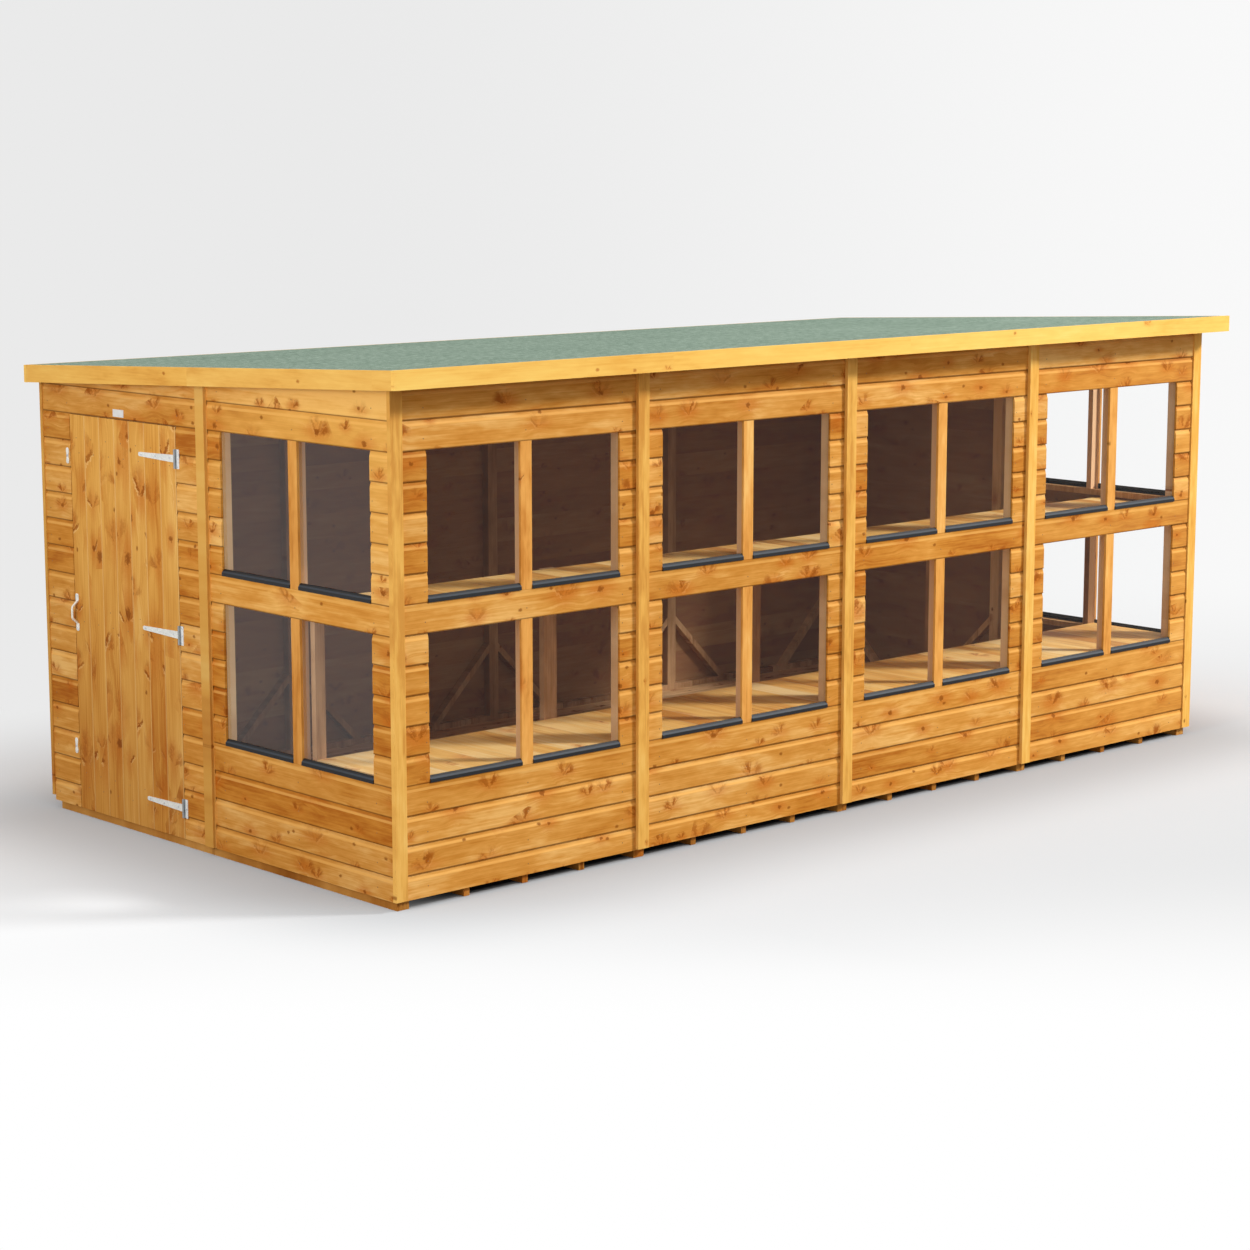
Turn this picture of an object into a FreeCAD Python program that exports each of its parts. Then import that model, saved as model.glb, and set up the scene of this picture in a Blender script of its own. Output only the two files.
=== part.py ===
import FreeCAD
import Part
import math
import os
from FreeCAD import Vector

# Driving dimensions, in millimetres. The walls are set out from the outer face of the
# cladding: x runs along the window side, y from the window side to the back, z up.
PANEL_W = 1200.0            # one panel of the long sides
LONG_PANELS = 4             # panels along each long side
END_PANEL_W = 1181.0        # one of the two panels of an end
CLAD_T = 12.0               # cladding board
FRAME_D = 40.0              # depth of the framing behind the cladding
FRAME_W = 28.0              # width of the framing timber
END_INSET = 13.0            # end walls stop this far behind the long faces

JOIST_H = 45.0              # floor joist
FLOOR_T = 12.0              # floor board
FLOOR_BOARD_W = 116.0       # width of a floor board
FLOOR_EDGE = 15.0           # floor set back from the cladding face
FRONT_ROW = 1150.0          # length of the front row of joists
JOIST_SHORT = 22.0          # joists stop short of the floor's back edge
JOIST_GAP = 1.0             # between the outer joist and the floor section
JOISTS_BETWEEN = 3          # joists between the ends of a floor section

CLAD_LOW = 36.0             # underside of the cladding above the ground
FIRST_COURSE = 95.0         # trimmed bottom course
COURSE = 114.0              # cover of the other courses
COVE_H = 22.0               # height of the hollow along a board's top edge
COVE_D = 6.0                # depth of the hollow
LEAST_BOARD = 6.0           # narrowest board left under the roof or at the floor's edge
SILL_COURSES = 4            # courses below the lower windows
WINDOW_COURSES = 5          # courses beside each window

WINDOW_W = 968.0            # window opening of a long panel
END_WINDOW_W = 955.0        # window opening of an end panel
MULLION_W = 56.0            # strip that faces the mullion between two panes
GLASS_T = 4.0               # pane
GLASS_IN = 1.0              # pane set back behind the cladding
BEAD_H = 26.0               # sill bead
BEAD_OUT = 4.0              # sill bead proud of the cladding
BEAD_LIP = 5.0              # flat top of the bead before the pane

STRIP_W = 58.0              # cover strip over a panel joint
STRIP_T = 16.0              # its thickness
STRIP_LOW = 40.0            # underside of the cover strips
STRIP_AIR = 4.0             # strips stop below the roof
CORNER_T = 19.0             # corner strip
CORNER_LAP = 5.0            # corner strip past the end cladding
CORNER_LOW = 38.0           # underside of the front corner strips
BACK_CORNER_LOW = 58.0      # underside of the back corner strips

HEAD_H = 236.0              # window head to the underside of the front fascia
ROOF_SLOPE = 2.64           # degrees, falling to the back
FRONT_OVER = 114.0          # roof overhang at the windows
END_OVER = 70.0             # roof overhang at the ends
FASCIA_T = 16.0             # fascia board
FASCIA_LAP = 16.0           # fascia below the wall top
RAFTER_H = 44.0             # rafter
ROOF_BOARD_T = 11.0         # roof board
FELT_T = 2.0                # roof felt
FASCIA_JOINT = 65.0         # front fascia joint past the first panel joint

DOOR_W = 780.0              # door leaf
DOOR_BOARDS = 7             # boards across the leaf
DOOR_T = 11.5               # door board
BOARD_BEVEL = 1.8           # bevel along the edges of a door board
DOOR_GAP = 3.0              # gap around the leaf
DOOR_MARGIN = 193.0         # cladding between the panel joint and the doorway
LEDGE_H = 95.0              # ledge behind the boards
LEDGE_T = 20.0              # thickness of the ledge
LEDGE_IN = 22.0             # ledge short of the leaf's edges
STOP_LAP = 15.0             # door board over the door post
THRESHOLD_H = 20.0          # threshold between the door posts

HINGE_IN = 128.0            # middle of the outer hinges from the leaf's foot and top
HINGES = 3                  # hinges of the leaf
HINGE_H = 78.0              # wall plate of a hinge
PLATE_W = 26.0              # wall plate across
STRAP_L = 266.0             # strap from the pin to its tip
STRAP_ROOT = 31.0           # strap height at the pin
STRAP_TIP = 17.0            # strap height at the tip
STRAP_POINT = 6.0           # length of the tapered tip
HINGE_T = 2.5               # hinge sheet
SHEET_IN = 2.5              # sheets start this far from the pin axis
PIN_OUT = 5.5               # pin axis in front of the cladding
PIN_R = 2.5                 # pin
BARREL_R = 5.0              # hinge barrel
RUN_FIT = 0.06              # radial play of a turning bore
PART_GAP = 0.4              # play between moving faces

HANDLE_Z = 849.0            # middle of the handle above the leaf's foot
HANDLE_IN = 18.0            # handle middle in from the leaf's edge
HANDLE_H = 160.0            # handle over its flanges
HANDLE_OUT = 27.0           # bar middle in front of the boards
BAR_R = 5.0                 # handle bar
FLANGE_H = 34.0             # flange at each end of the bar
FLANGE_W = 22.0             # flange across
FLANGE_T = 3.0              # flange sheet
BAR_FOOT = 7.0              # bar middle above the flange's inner edge
BAR_LEAN = 48.0             # degrees, bar leans this far out from its foot to the bow
BAR_EASE = 4.0              # depth of the eased corner between lean and bow
BUTTON_L = 68.0             # turn button
BUTTON_W = 20.0             # turn button across
BUTTON_T = 3.0              # turn button sheet
BUTTON_AIR = 1.0            # turn button in front of the cladding
BUTTON_OFF = 17.0           # button pivot past the doorway
BUTTON_HEAD_R = 5.5         # head of the pivot screw
BUTTON_HEAD_H = 2.4         # height of that head
BUTTON_LOW = 268.0          # lower button above the leaf's foot
BUTTON_HIGH = 1512.0        # upper button above the leaf's foot
PLATE_L = 78.0              # small plate above the door
PLATE_H = 31.0              # its height
PLATE_T = 1.5               # its thickness
PLATE_OFF = 17.0            # its middle past the middle of the leaf
PLATE_RISE = 24.0           # its middle above the doorway

BENCH_D = 498.0             # depth of bench and shelf
BENCH_RISE = 17.0           # bench top above the lower sills
SHELF_DROP = 38.0           # shelf top below the upper sills
BENCH_T = 14.0              # bench board
BENCH_BOARD_W = 120.0       # width of a bench board
POST_W = 46.0               # staging post at an end
JOINT_POST_W = 70.0         # staging post behind a panel joint
POST_D = 28.0               # its depth
BEARER_H = 44.0             # staging bearer
BRACE_LEG = 355.0           # reach of a knee brace

# Sizes that follow
WALL_T = CLAD_T + FRAME_D
LENGTH = LONG_PANELS * PANEL_W + 2 * WALL_T
DEPTH = 2 * END_PANEL_W + 2 * END_INSET
FLOOR_Z = JOIST_H + FLOOR_T
SLOPE = math.tan(math.radians(ROOF_SLOPE))


def level(i):
    """Height of the underside of course i."""
    return CLAD_LOW if i == 0 else CLAD_LOW + FIRST_COURSE + COURSE * (i - 1)


SILL_I = SILL_COURSES
MID_LOW_I = SILL_I + WINDOW_COURSES
MID_TOP_I = MID_LOW_I + 1
HEAD_I = MID_TOP_I + WINDOW_COURSES
SILL_Z, MID_LOW_Z, MID_TOP_Z, HEAD_Z = (level(i) for i in (SILL_I, MID_LOW_I, MID_TOP_I, HEAD_I))
FASCIA_Z = HEAD_Z + HEAD_H
FASCIA_H = FASCIA_LAP + RAFTER_H + ROOF_BOARD_T + FELT_T
ROOF_FRONT = -FRONT_OVER + FASCIA_T
ROOF_BACK = DEPTH
BENCH_Z = SILL_Z + BENCH_RISE
SHELF_Z = MID_TOP_Z - SHELF_DROP
MIDDLE = Vector(LENGTH / 2, (ROOF_BACK + FASCIA_T - FRONT_OVER) / 2, 0)


def roof_z(y, lift=0.0):
    """Top of the walls under the roof at depth y, plus a lift."""
    return FASCIA_Z + FASCIA_LAP - (y + FRONT_OVER) * SLOPE + lift


def prism(points, along):
    """Solid from a closed polygon pushed along a vector."""
    face = Part.Face(Part.makePolygon(points + [points[0]]))
    return face.extrude(along)


def box(x0, x1, y0, y1, z0, z1):
    return Part.makeBox(x1 - x0, y1 - y0, z1 - z0, Vector(x0, y0, z0))


def cylinder(r, h, base, axis):
    return Part.makeCylinder(r, h, base, axis)


def slope_bar(x0, x1, y0, y1, low, high):
    """Bar along the roof slope between two lifts over the wall tops."""
    pts = [Vector(x0, y0, roof_z(y0, low)), Vector(x0, y1, roof_z(y1, low)),
           Vector(x0, y1, roof_z(y1, high)), Vector(x0, y0, roof_z(y0, high))]
    return prism(pts, Vector(x1 - x0, 0, 0))


class Wall:
    """One wall: u runs along it, w from the cladding face inwards."""

    def __init__(self, side):
        self.side = side
        self.long = side in ("front", "back")

    def at(self, u, w, z):
        if self.side == "front":
            return Vector(u, w, z)
        if self.side == "back":
            return Vector(u, DEPTH - w, z)
        if self.side == "left":
            return Vector(w, u, z)
        return Vector(LENGTH - w, u, z)

    def top(self, u, w, drop=0.0):
        return roof_z(self.at(u, w, 0).y, -drop)

    def bar(self, u0, u1, w0, w1, z0, z1):
        a, b = self.at(u0, w0, z0), self.at(u1, w1, z1)
        return box(min(a.x, b.x), max(a.x, b.x), min(a.y, b.y), max(a.y, b.y), z0, z1)

    def along(self, u0, u1, profile):
        """Profile of (w, z) points pushed along the wall."""
        pts = [self.at(u0, w, z) for w, z in profile]
        return prism(pts, self.at(u1, 0, 0) - self.at(u0, 0, 0))

    def through(self, w0, w1, outline):
        """Outline of (u, z) points pushed through the wall."""
        pts = [self.at(u, w0, z) for u, z in outline]
        return prism(pts, self.at(0, w1, 0) - self.at(0, w0, 0))

    def to_roof(self, u0, u1, w0, w1, z0, drop, thick=None):
        """Piece that ends under the roof; with a thickness its underside slopes too."""
        def low(u, w):
            return z0 if thick is None else self.top(u, w, drop + thick)
        if self.long:
            return self.along(u0, u1, [(w0, low(u0, w0)), (w1, low(u0, w1)),
                                       (w1, self.top(u0, w1, drop)), (w0, self.top(u0, w0, drop))])
        return self.through(w0, w1, [(u0, low(u0, w0)), (u1, low(u1, w0)),
                                     (u1, self.top(u1, w0, drop)), (u0, self.top(u0, w0, drop))])

    def course(self, u0, u1, z0, z1, cove=True):
        """Shiplap board, thinned along its top edge where the next one starts."""
        if not cove:
            return self.bar(u0, u1, 0, CLAD_T, z0, z1)
        profile = [(0, z0), (0, z1 - COVE_H), (COVE_D, z1), (CLAD_T, z1), (CLAD_T, z0)]
        return self.along(u0, u1, profile)

    def top_course(self, u0, u1, z0, z1):
        """Board cut along the roof line, or nothing where it would be a sliver."""
        if self.long:
            room = min(self.top(u0, 0), self.top(u0, CLAD_T)) - z0
            return self.to_roof(u0, u1, 0, CLAD_T, z0, 0) if room > LEAST_BOARD else None
        corners = [(u0, z0), (u1, z0), (u1, z1), (u0, z1)]
        outline = []
        for (ua, za), (ub, zb) in zip(corners, corners[1:] + corners[:1]):
            fa, fb = self.top(ua, 0) - za, self.top(ub, 0) - zb
            if fa >= 0:
                outline.append((ua, za))
            if fa * fb < 0:
                t = fa / (fa - fb)
                outline.append((ua + t * (ub - ua), za + t * (zb - za)))
        heights = [z for _, z in outline]
        if len(outline) < 3 or max(heights) - z0 < LEAST_BOARD:
            return None
        return self.through(0, CLAD_T, outline)

    def cladding(self, u0, u1, gaps=()):
        """Courses of one panel; gaps are (first course, end course, from u, to u)."""
        boards = []
        ends = [self.top(u0, 0), self.top(u1, 0), self.top(u0, CLAD_T)]
        i = 0
        while level(i) < max(ends):
            z0, z1 = level(i), level(i + 1)
            gap = [g for g in gaps if g[0] <= i < g[1]]
            under_gap = any(g[0] == i + 1 for g in gaps)
            runs = [(u0, u1)] if not gap else [(u0, gap[0][2]), (gap[0][3], u1)]
            for a, b in runs:
                if z1 <= min(ends):
                    boards.append(self.course(a, b, z0, z1, not under_gap))
                else:
                    boards.append(self.top_course(a, b, z0, z1))
            i += 1
        return [b for b in boards if b is not None]

    def upright(self, u0, z0=None):
        """Framing upright from the bottom rail to the top rail."""
        low = FLOOR_Z + FRAME_W if z0 is None else z0
        return self.to_roof(u0, u0 + FRAME_W, CLAD_T, WALL_T, low, FRAME_W)

    def rail(self, u0, u1, z0):
        return self.bar(u0, u1, CLAD_T, WALL_T, z0, z0 + FRAME_W)

    def outer_frame(self, u0, u1):
        """Bottom rail, top rail and the two edge uprights."""
        return [self.rail(u0, u1, FLOOR_Z),
                self.to_roof(u0, u1, CLAD_T, WALL_T, 0, 0, FRAME_W),
                self.upright(u0), self.upright(u1 - FRAME_W)]

    def window_frame(self, u0, u1, width):
        mid = (u0 + u1) / 2
        a, b = mid - width / 2, mid + width / 2
        pieces = self.outer_frame(u0, u1) + [self.upright(a - FRAME_W), self.upright(b)]
        for z0 in (SILL_Z - FRAME_W, MID_LOW_Z, MID_TOP_Z - FRAME_W, HEAD_Z):
            pieces.append(self.rail(a, b, z0))
        return pieces

    def window_cladding(self, u0, u1, width):
        mid = (u0 + u1) / 2
        a, b = mid - width / 2, mid + width / 2
        return self.cladding(u0, u1, ((SILL_I, MID_LOW_I, a, b), (MID_TOP_I, HEAD_I, a, b)))

    def mullions(self, u0, u1):
        """Mullion post behind the panes and the strip that faces it."""
        mid = (u0 + u1) / 2
        return [self.bar(mid - width / 2, mid + width / 2, w0, w1, z0, z1)
                for z0, z1 in ((SILL_Z, MID_LOW_Z), (MID_TOP_Z, HEAD_Z))
                for width, w0, w1 in ((MULLION_W, 0, CLAD_T), (FRAME_W, CLAD_T, WALL_T))]

    def lights(self, u0, u1, width, between):
        """Edges of two panes across a window, so far apart, and the heights of the two rows."""
        mid = (u0 + u1) / 2
        spans = ((mid - width / 2, mid - between / 2), (mid + between / 2, mid + width / 2))
        return [(a, b, z0, z1) for a, b in spans
                for z0, z1 in ((SILL_Z, MID_LOW_Z), (MID_TOP_Z, HEAD_Z))]

    def panes(self, u0, u1, width):
        w = CLAD_T + GLASS_IN
        return [self.bar(a, b, w, w + GLASS_T, z0, z1)
                for a, b, z0, z1 in self.lights(u0, u1, width, FRAME_W)]

    def beads(self, u0, u1, width):
        """Sill bead with a sloping upper face in front of each pane."""
        back = CLAD_T + GLASS_IN
        made = []
        for a, b, z0, _ in self.lights(u0, u1, width, MULLION_W):
            profile = [(back, z0), (-BEAD_OUT, z0), (-BEAD_OUT, z0 + BEAD_H / 2),
                       (back - BEAD_LIP, z0 + BEAD_H), (back, z0 + BEAD_H)]
            made.append(self.along(a, b, profile))
        return made

    def knee_braces(self, u0, u1):
        """Slanting braces in the two bottom corners of a panel."""
        foot = FLOOR_Z + FRAME_W
        cut = FRAME_W * math.sqrt(2)
        made = []
        for edge, way in ((u0 + FRAME_W, 1), (u1 - FRAME_W, -1)):
            made.append(self.through(CLAD_T, WALL_T, [
                (edge, foot + BRACE_LEG - cut), (edge + way * (BRACE_LEG - cut), foot),
                (edge + way * BRACE_LEG, foot), (edge, foot + BRACE_LEG)]))
        return made

    def joint_strip(self, u, top):
        return self.bar(u - STRIP_W / 2, u + STRIP_W / 2, -STRIP_T, 0, STRIP_LOW, top)


def rod(path, r, sides=8):
    """Bar of even section along a bent path, mitred at each bend, cut upright at both ends."""
    side = Vector(0, 1, 0)
    rings = []
    for i, p in enumerate(path):
        before = (p - path[i - 1]).normalize() if i else (path[1] - p).normalize()
        after = (path[i + 1] - p).normalize() if i + 1 < len(path) else before
        cut = (before + after).normalize() if 0 < i < len(path) - 1 else Vector(1, 0, 0)
        up = side.cross(before)
        ring = []
        for k in range(sides):
            t = 2 * math.pi * (k + 0.5) / sides
            v = side * (r * math.cos(t)) + up * (r * math.sin(t))
            ring.append(p + v - before * (v.dot(cut) / before.dot(cut)))
        rings.append(ring)
    faces = [Part.Face(Part.makePolygon(ring + [ring[0]])) for ring in (rings[0], rings[-1])]
    for a, b in zip(rings, rings[1:]):
        for k in range(sides):
            n = (k + 1) % sides
            faces.append(Part.Face(Part.makePolygon([a[k], a[n], b[n], b[k], a[k]])))
    solid = Part.makeSolid(Part.makeShell(faces))
    if solid.Volume < 0:
        solid.reverse()
    return solid


NODES = {}


def node(name, solids):
    NODES.setdefault(name, []).extend(solids)


front, back, left, right = (Wall(s) for s in ("front", "back", "left", "right"))
long_panels = [(WALL_T + k * PANEL_W, WALL_T + (k + 1) * PANEL_W) for k in range(LONG_PANELS)]
END_MID = END_INSET + END_PANEL_W
end_front = (END_INSET, END_MID)
end_back = (END_MID, END_MID + END_PANEL_W)

# Floor: joists in two rows, boards across them
row_joint = FLOOR_EDGE + FRONT_ROW
row_end = DEPTH - FLOOR_EDGE - JOIST_SHORT
section_x = [FLOOR_EDGE + FRAME_W + JOIST_GAP] + [p[1] for p in long_panels[:-1]]
section_x.append(LENGTH - section_x[0])
joist_x = [FLOOR_EDGE, LENGTH - FLOOR_EDGE - FRAME_W]
for a, b in zip(section_x, section_x[1:]):
    step = (b - a - FRAME_W) / (JOISTS_BETWEEN + 1)
    joist_x += [a + step * k for k in range(JOISTS_BETWEEN + 2)]
for x in joist_x:
    for y0, y1 in ((FLOOR_EDGE, row_joint), (row_joint, row_end)):
        node("floor_joists", [box(x, x + FRAME_W, y0, y1, 0, JOIST_H)])
y = FLOOR_EDGE
while y < DEPTH - FLOOR_EDGE - LEAST_BOARD:
    y1 = min(y + FLOOR_BOARD_W, DEPTH - FLOOR_EDGE)
    for a, b in ((FLOOR_EDGE, LENGTH / 2), (LENGTH / 2, LENGTH - FLOOR_EDGE)):
        node("floor_boards", [box(a, b, y, y1, JOIST_H, FLOOR_Z)])
    y = y1

# Long walls
for k, (a, b) in enumerate(long_panels):
    name = str(k + 1)
    node("front_frame_" + name, front.window_frame(a, b, WINDOW_W))
    node("front_cladding_" + name, front.window_cladding(a, b, WINDOW_W))
    node("front_mullions", front.mullions(a, b))
    node("front_panes", front.panes(a, b, WINDOW_W))
    node("front_sill_beads", front.beads(a, b, WINDOW_W))
    node("back_frame_" + name, back.outer_frame(a, b) + back.knee_braces(a, b))
    node("back_cladding_" + name, back.cladding(a, b))

# Window panels of the two ends and the plain panel of the right end
for wall in (left, right):
    a, b = end_front
    node(wall.side + "_window_frame", wall.window_frame(a, b, END_WINDOW_W))
    node(wall.side + "_window_cladding", wall.window_cladding(a, b, END_WINDOW_W))
    node("end_mullions", wall.mullions(a, b))
    node("end_panes", wall.panes(a, b, END_WINDOW_W))
    node("end_sill_beads", wall.beads(a, b, END_WINDOW_W))
node("right_plain_frame", right.outer_frame(*end_back) + right.knee_braces(*end_back))
node("right_plain_cladding", right.cladding(*end_back))

# Door panel of the left end
way_a = END_MID + DOOR_MARGIN
door_a, door_b = way_a + DOOR_GAP, way_a + DOOR_GAP + DOOR_W
way_b = door_b + DOOR_GAP
post_a = door_a + STOP_LAP - FRAME_W
post_b = door_b - STOP_LAP
door_low, door_top = CLAD_LOW, HEAD_Z - DOOR_GAP
panel_a, panel_b = end_back
node("door_panel_frame", [
    left.rail(panel_a, post_a, FLOOR_Z), left.rail(post_b + FRAME_W, panel_b, FLOOR_Z),
    left.to_roof(panel_a, panel_b, CLAD_T, WALL_T, 0, 0, FRAME_W),
    left.upright(panel_a), left.upright(panel_b - FRAME_W),
    left.upright(post_a, FLOOR_Z), left.upright(post_b, FLOOR_Z),
    left.rail(post_a + FRAME_W, post_b, door_top - STOP_LAP),
    left.bar(post_a + FRAME_W, post_b, CLAD_T + DOOR_GAP, WALL_T, FLOOR_Z, FLOOR_Z + THRESHOLD_H)])
node("door_panel_cladding", left.cladding(panel_a, panel_b, ((0, HEAD_I, way_a, way_b),)))

# Cover strips
back_low = roof_z(ROOF_BACK + FASCIA_T) - FASCIA_LAP
for _, u in long_panels[:-1]:
    node("joint_strips", [front.joint_strip(u, roof_z(0, -STRIP_AIR)),
                          back.joint_strip(u, back_low - STRIP_AIR)])
for wall in (left, right):
    node("joint_strips", [wall.joint_strip(END_MID, wall.top(END_MID + STRIP_W / 2, 0, STRIP_AIR))])
for x0 in (-CORNER_LAP, LENGTH - WALL_T):
    x1 = x0 + WALL_T + CORNER_LAP
    node("corner_strips", [
        box(x0, x1, END_INSET - CORNER_T, END_INSET, CORNER_LOW, roof_z(END_INSET, -STRIP_AIR)),
        box(x0, x1, DEPTH - END_INSET, DEPTH - END_INSET + CORNER_T,
            BACK_CORNER_LOW, back_low - STRIP_AIR)])

# Roof: rafters on the walls, boards, felt and the four fascias
deck_a, deck_b = -END_OVER + FASCIA_T, LENGTH + END_OVER - FASCIA_T
rafter_x = [deck_a, CLAD_T, LENGTH - CLAD_T - FRAME_W, deck_b - FRAME_W]
rafter_x += [WALL_T + PANEL_W * k / 2 - FRAME_W / 2 for k in range(1, 2 * LONG_PANELS)]
node("rafters", [slope_bar(x, x + FRAME_W, ROOF_FRONT, ROOF_BACK, 0, RAFTER_H) for x in rafter_x])
board_x = [deck_a] + [p[1] for p in long_panels[:-1]] + [deck_b]
boards_top = RAFTER_H + ROOF_BOARD_T
node("roof_boards", [slope_bar(a, b, ROOF_FRONT, ROOF_BACK, RAFTER_H, boards_top)
                     for a, b in zip(board_x, board_x[1:])])
node("roof_felt", [slope_bar(deck_a, deck_b, ROOF_FRONT, ROOF_BACK, boards_top, boards_top + FELT_T)])
fascia_a, fascia_b = -END_OVER, LENGTH + END_OVER
joint_x = long_panels[0][1] + FASCIA_JOINT
node("front_fascia", [box(a, b, -FRONT_OVER, ROOF_FRONT, FASCIA_Z, FASCIA_Z + FASCIA_H)
                      for a, b in ((fascia_a, joint_x), (joint_x, LENGTH - joint_x + PANEL_W),
                                   (LENGTH - joint_x + PANEL_W, fascia_b))])
node("back_fascia", [box(a, b, ROOF_BACK, ROOF_BACK + FASCIA_T, back_low, back_low + FASCIA_H)
                     for a, b in ((fascia_a, LENGTH / 2), (LENGTH / 2, fascia_b))])
fascia_y = (ROOF_FRONT, END_MID - 2 * STRIP_W, ROOF_BACK)
for x0 in (fascia_a, fascia_b - FASCIA_T):
    node("end_fascias", [slope_bar(x0, x0 + FASCIA_T, a, b, -FASCIA_LAP, FASCIA_H - FASCIA_LAP)
                         for a, b in zip(fascia_y, fascia_y[1:])])

# Door leaf: vertical boards with bevelled edges, ledges and braces behind them
board_w = DOOR_W / DOOR_BOARDS
for k in range(DOOR_BOARDS):
    a, b = door_a + k * board_w, door_a + (k + 1) * board_w
    outline = [(0, a + BOARD_BEVEL), (BOARD_BEVEL, a), (DOOR_T, a),
               (DOOR_T, b), (BOARD_BEVEL, b), (0, b - BOARD_BEVEL)]
    node("door_boards", [prism([Vector(x, y, door_low) for x, y in outline],
                               Vector(0, 0, door_top - door_low))])
ledge_a, ledge_b = door_a + LEDGE_IN, door_b - LEDGE_IN
hinge_pitch = (door_top - door_low - 2 * HINGE_IN) / (HINGES - 1)
hinge_z = [door_low + HINGE_IN + hinge_pitch * k for k in range(HINGES)]
back_x = DOOR_T + LEDGE_T
for z in hinge_z:
    node("door_ledges", [box(DOOR_T, back_x, ledge_a, ledge_b, z - LEDGE_H / 2, z + LEDGE_H / 2)])
for z0, z1 in zip(hinge_z, hinge_z[1:]):
    low, high = z0 + LEDGE_H / 2, z1 - LEDGE_H / 2
    foot = LEDGE_H * 1.3
    node("door_ledges", [prism([Vector(DOOR_T, y, z) for y, z in (
        (ledge_a, low), (ledge_a + foot, low), (ledge_b, high), (ledge_b - foot, high))],
        Vector(LEDGE_T, 0, 0))])

# Hinges: plate with two barrels on the wall, strap with one barrel on the door, pin between
pin_y = (way_a + door_a) / 2
up = Vector(0, 0, 1)
for z in hinge_z:
    low, high = z - HINGE_H / 2, z + HINGE_H / 2
    strap_low, strap_high = z - STRAP_ROOT / 2, z + STRAP_ROOT / 2
    axis_at = Vector(-PIN_OUT, pin_y, low)
    plate = box(-HINGE_T, 0, pin_y - PLATE_W, pin_y - SHEET_IN, low, high)
    for a, b in ((low, strap_low - PART_GAP), (strap_high + PART_GAP, high)):
        plate = plate.fuse(cylinder(BARREL_R, b - a, Vector(-PIN_OUT, pin_y, a), up))
    notch = box(-HINGE_T, 0, pin_y - BARREL_R - PART_GAP, pin_y, strap_low - PART_GAP, strap_high + PART_GAP)
    plate = plate.cut(notch).cut(cylinder(PIN_R, HINGE_H, axis_at, up)).removeSplitter()
    strap = prism([Vector(-HINGE_T, y, zz) for y, zz in (
        (pin_y + SHEET_IN, strap_low), (pin_y + STRAP_L - STRAP_POINT, z - STRAP_TIP / 2),
        (pin_y + STRAP_L, z - STRAP_TIP / 4), (pin_y + STRAP_L, z + STRAP_TIP / 4),
        (pin_y + STRAP_L - STRAP_POINT, z + STRAP_TIP / 2), (pin_y + SHEET_IN, strap_high))],
        Vector(HINGE_T, 0, 0))
    strap = strap.fuse(cylinder(BARREL_R, STRAP_ROOT, Vector(-PIN_OUT, pin_y, strap_low), up))
    strap = strap.cut(cylinder(PIN_R + RUN_FIT, HINGE_H, axis_at, up)).removeSplitter()
    node("hinge_plates", [plate])
    node("hinge_straps", [strap])
    node("hinge_pins", [cylinder(PIN_R, HINGE_H, axis_at, up)])

# Pull handle: two flanges joined by a bent bar
handle_y = door_b - HANDLE_IN
handle_z = door_low + HANDLE_Z
lean = math.radians(BAR_LEAN)
foot_z = HANDLE_H / 2 - FLANGE_H + BAR_FOOT
shoulder_z = foot_z - (HANDLE_OUT - BAR_EASE - FLANGE_T) / math.tan(lean)
bend = [(-FLANGE_T, foot_z), (BAR_EASE - HANDLE_OUT, shoulder_z),
        (-HANDLE_OUT, shoulder_z - BAR_EASE / math.tan(lean / 2))]
path = [Vector(x, handle_y, handle_z + z) for x, z in bend]
path += [Vector(x, handle_y, handle_z - z) for x, z in reversed(bend)]
handle = []
for way in (1, -1):
    inner, outer = way * (HANDLE_H / 2 - FLANGE_H), way * HANDLE_H / 2
    handle.append(box(-FLANGE_T, 0, handle_y - FLANGE_W / 2, handle_y + FLANGE_W / 2,
                      handle_z + min(inner, outer), handle_z + max(inner, outer)))
node("door_handle", handle + [rod(path, BAR_R)])

# Turn buttons beside the door, upright at rest, each on its own pivot screw
button_y = way_b + BUTTON_OFF
for name, rise in (("turn_button_lower", BUTTON_LOW), ("turn_button_upper", BUTTON_HIGH)):
    z = door_low + rise
    x_in, x_out = -BUTTON_AIR, -BUTTON_AIR - BUTTON_T
    half, r = BUTTON_L / 2, BUTTON_W / 2
    body = box(x_out, x_in, button_y - r, button_y + r, z - half + r, z + half - r)
    for end in (z - half + r, z + half - r):
        body = body.fuse(cylinder(r, BUTTON_T, Vector(x_out, button_y, end), Vector(1, 0, 0)))
    bore = cylinder(PIN_R + RUN_FIT, BUTTON_T, Vector(x_out, button_y, z), Vector(1, 0, 0))
    node(name, [body.cut(bore).removeSplitter()])
    shank = cylinder(PIN_R, -x_out + PART_GAP, Vector(x_out - PART_GAP, button_y, z), Vector(1, 0, 0))
    head = cylinder(BUTTON_HEAD_R, BUTTON_HEAD_H,
                    Vector(x_out - PART_GAP - BUTTON_HEAD_H, button_y, z), Vector(1, 0, 0))
    node("button_screws", [shank.fuse(head).removeSplitter()])

# Small plate on the course above the door
plate_y = (door_a + door_b) / 2 + PLATE_OFF
plate_z = HEAD_Z + PLATE_RISE
node("door_plate", [box(-PLATE_T, 0, plate_y - PLATE_L / 2, plate_y + PLATE_L / 2,
                        plate_z - PLATE_H / 2, plate_z + PLATE_H / 2)])

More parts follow.
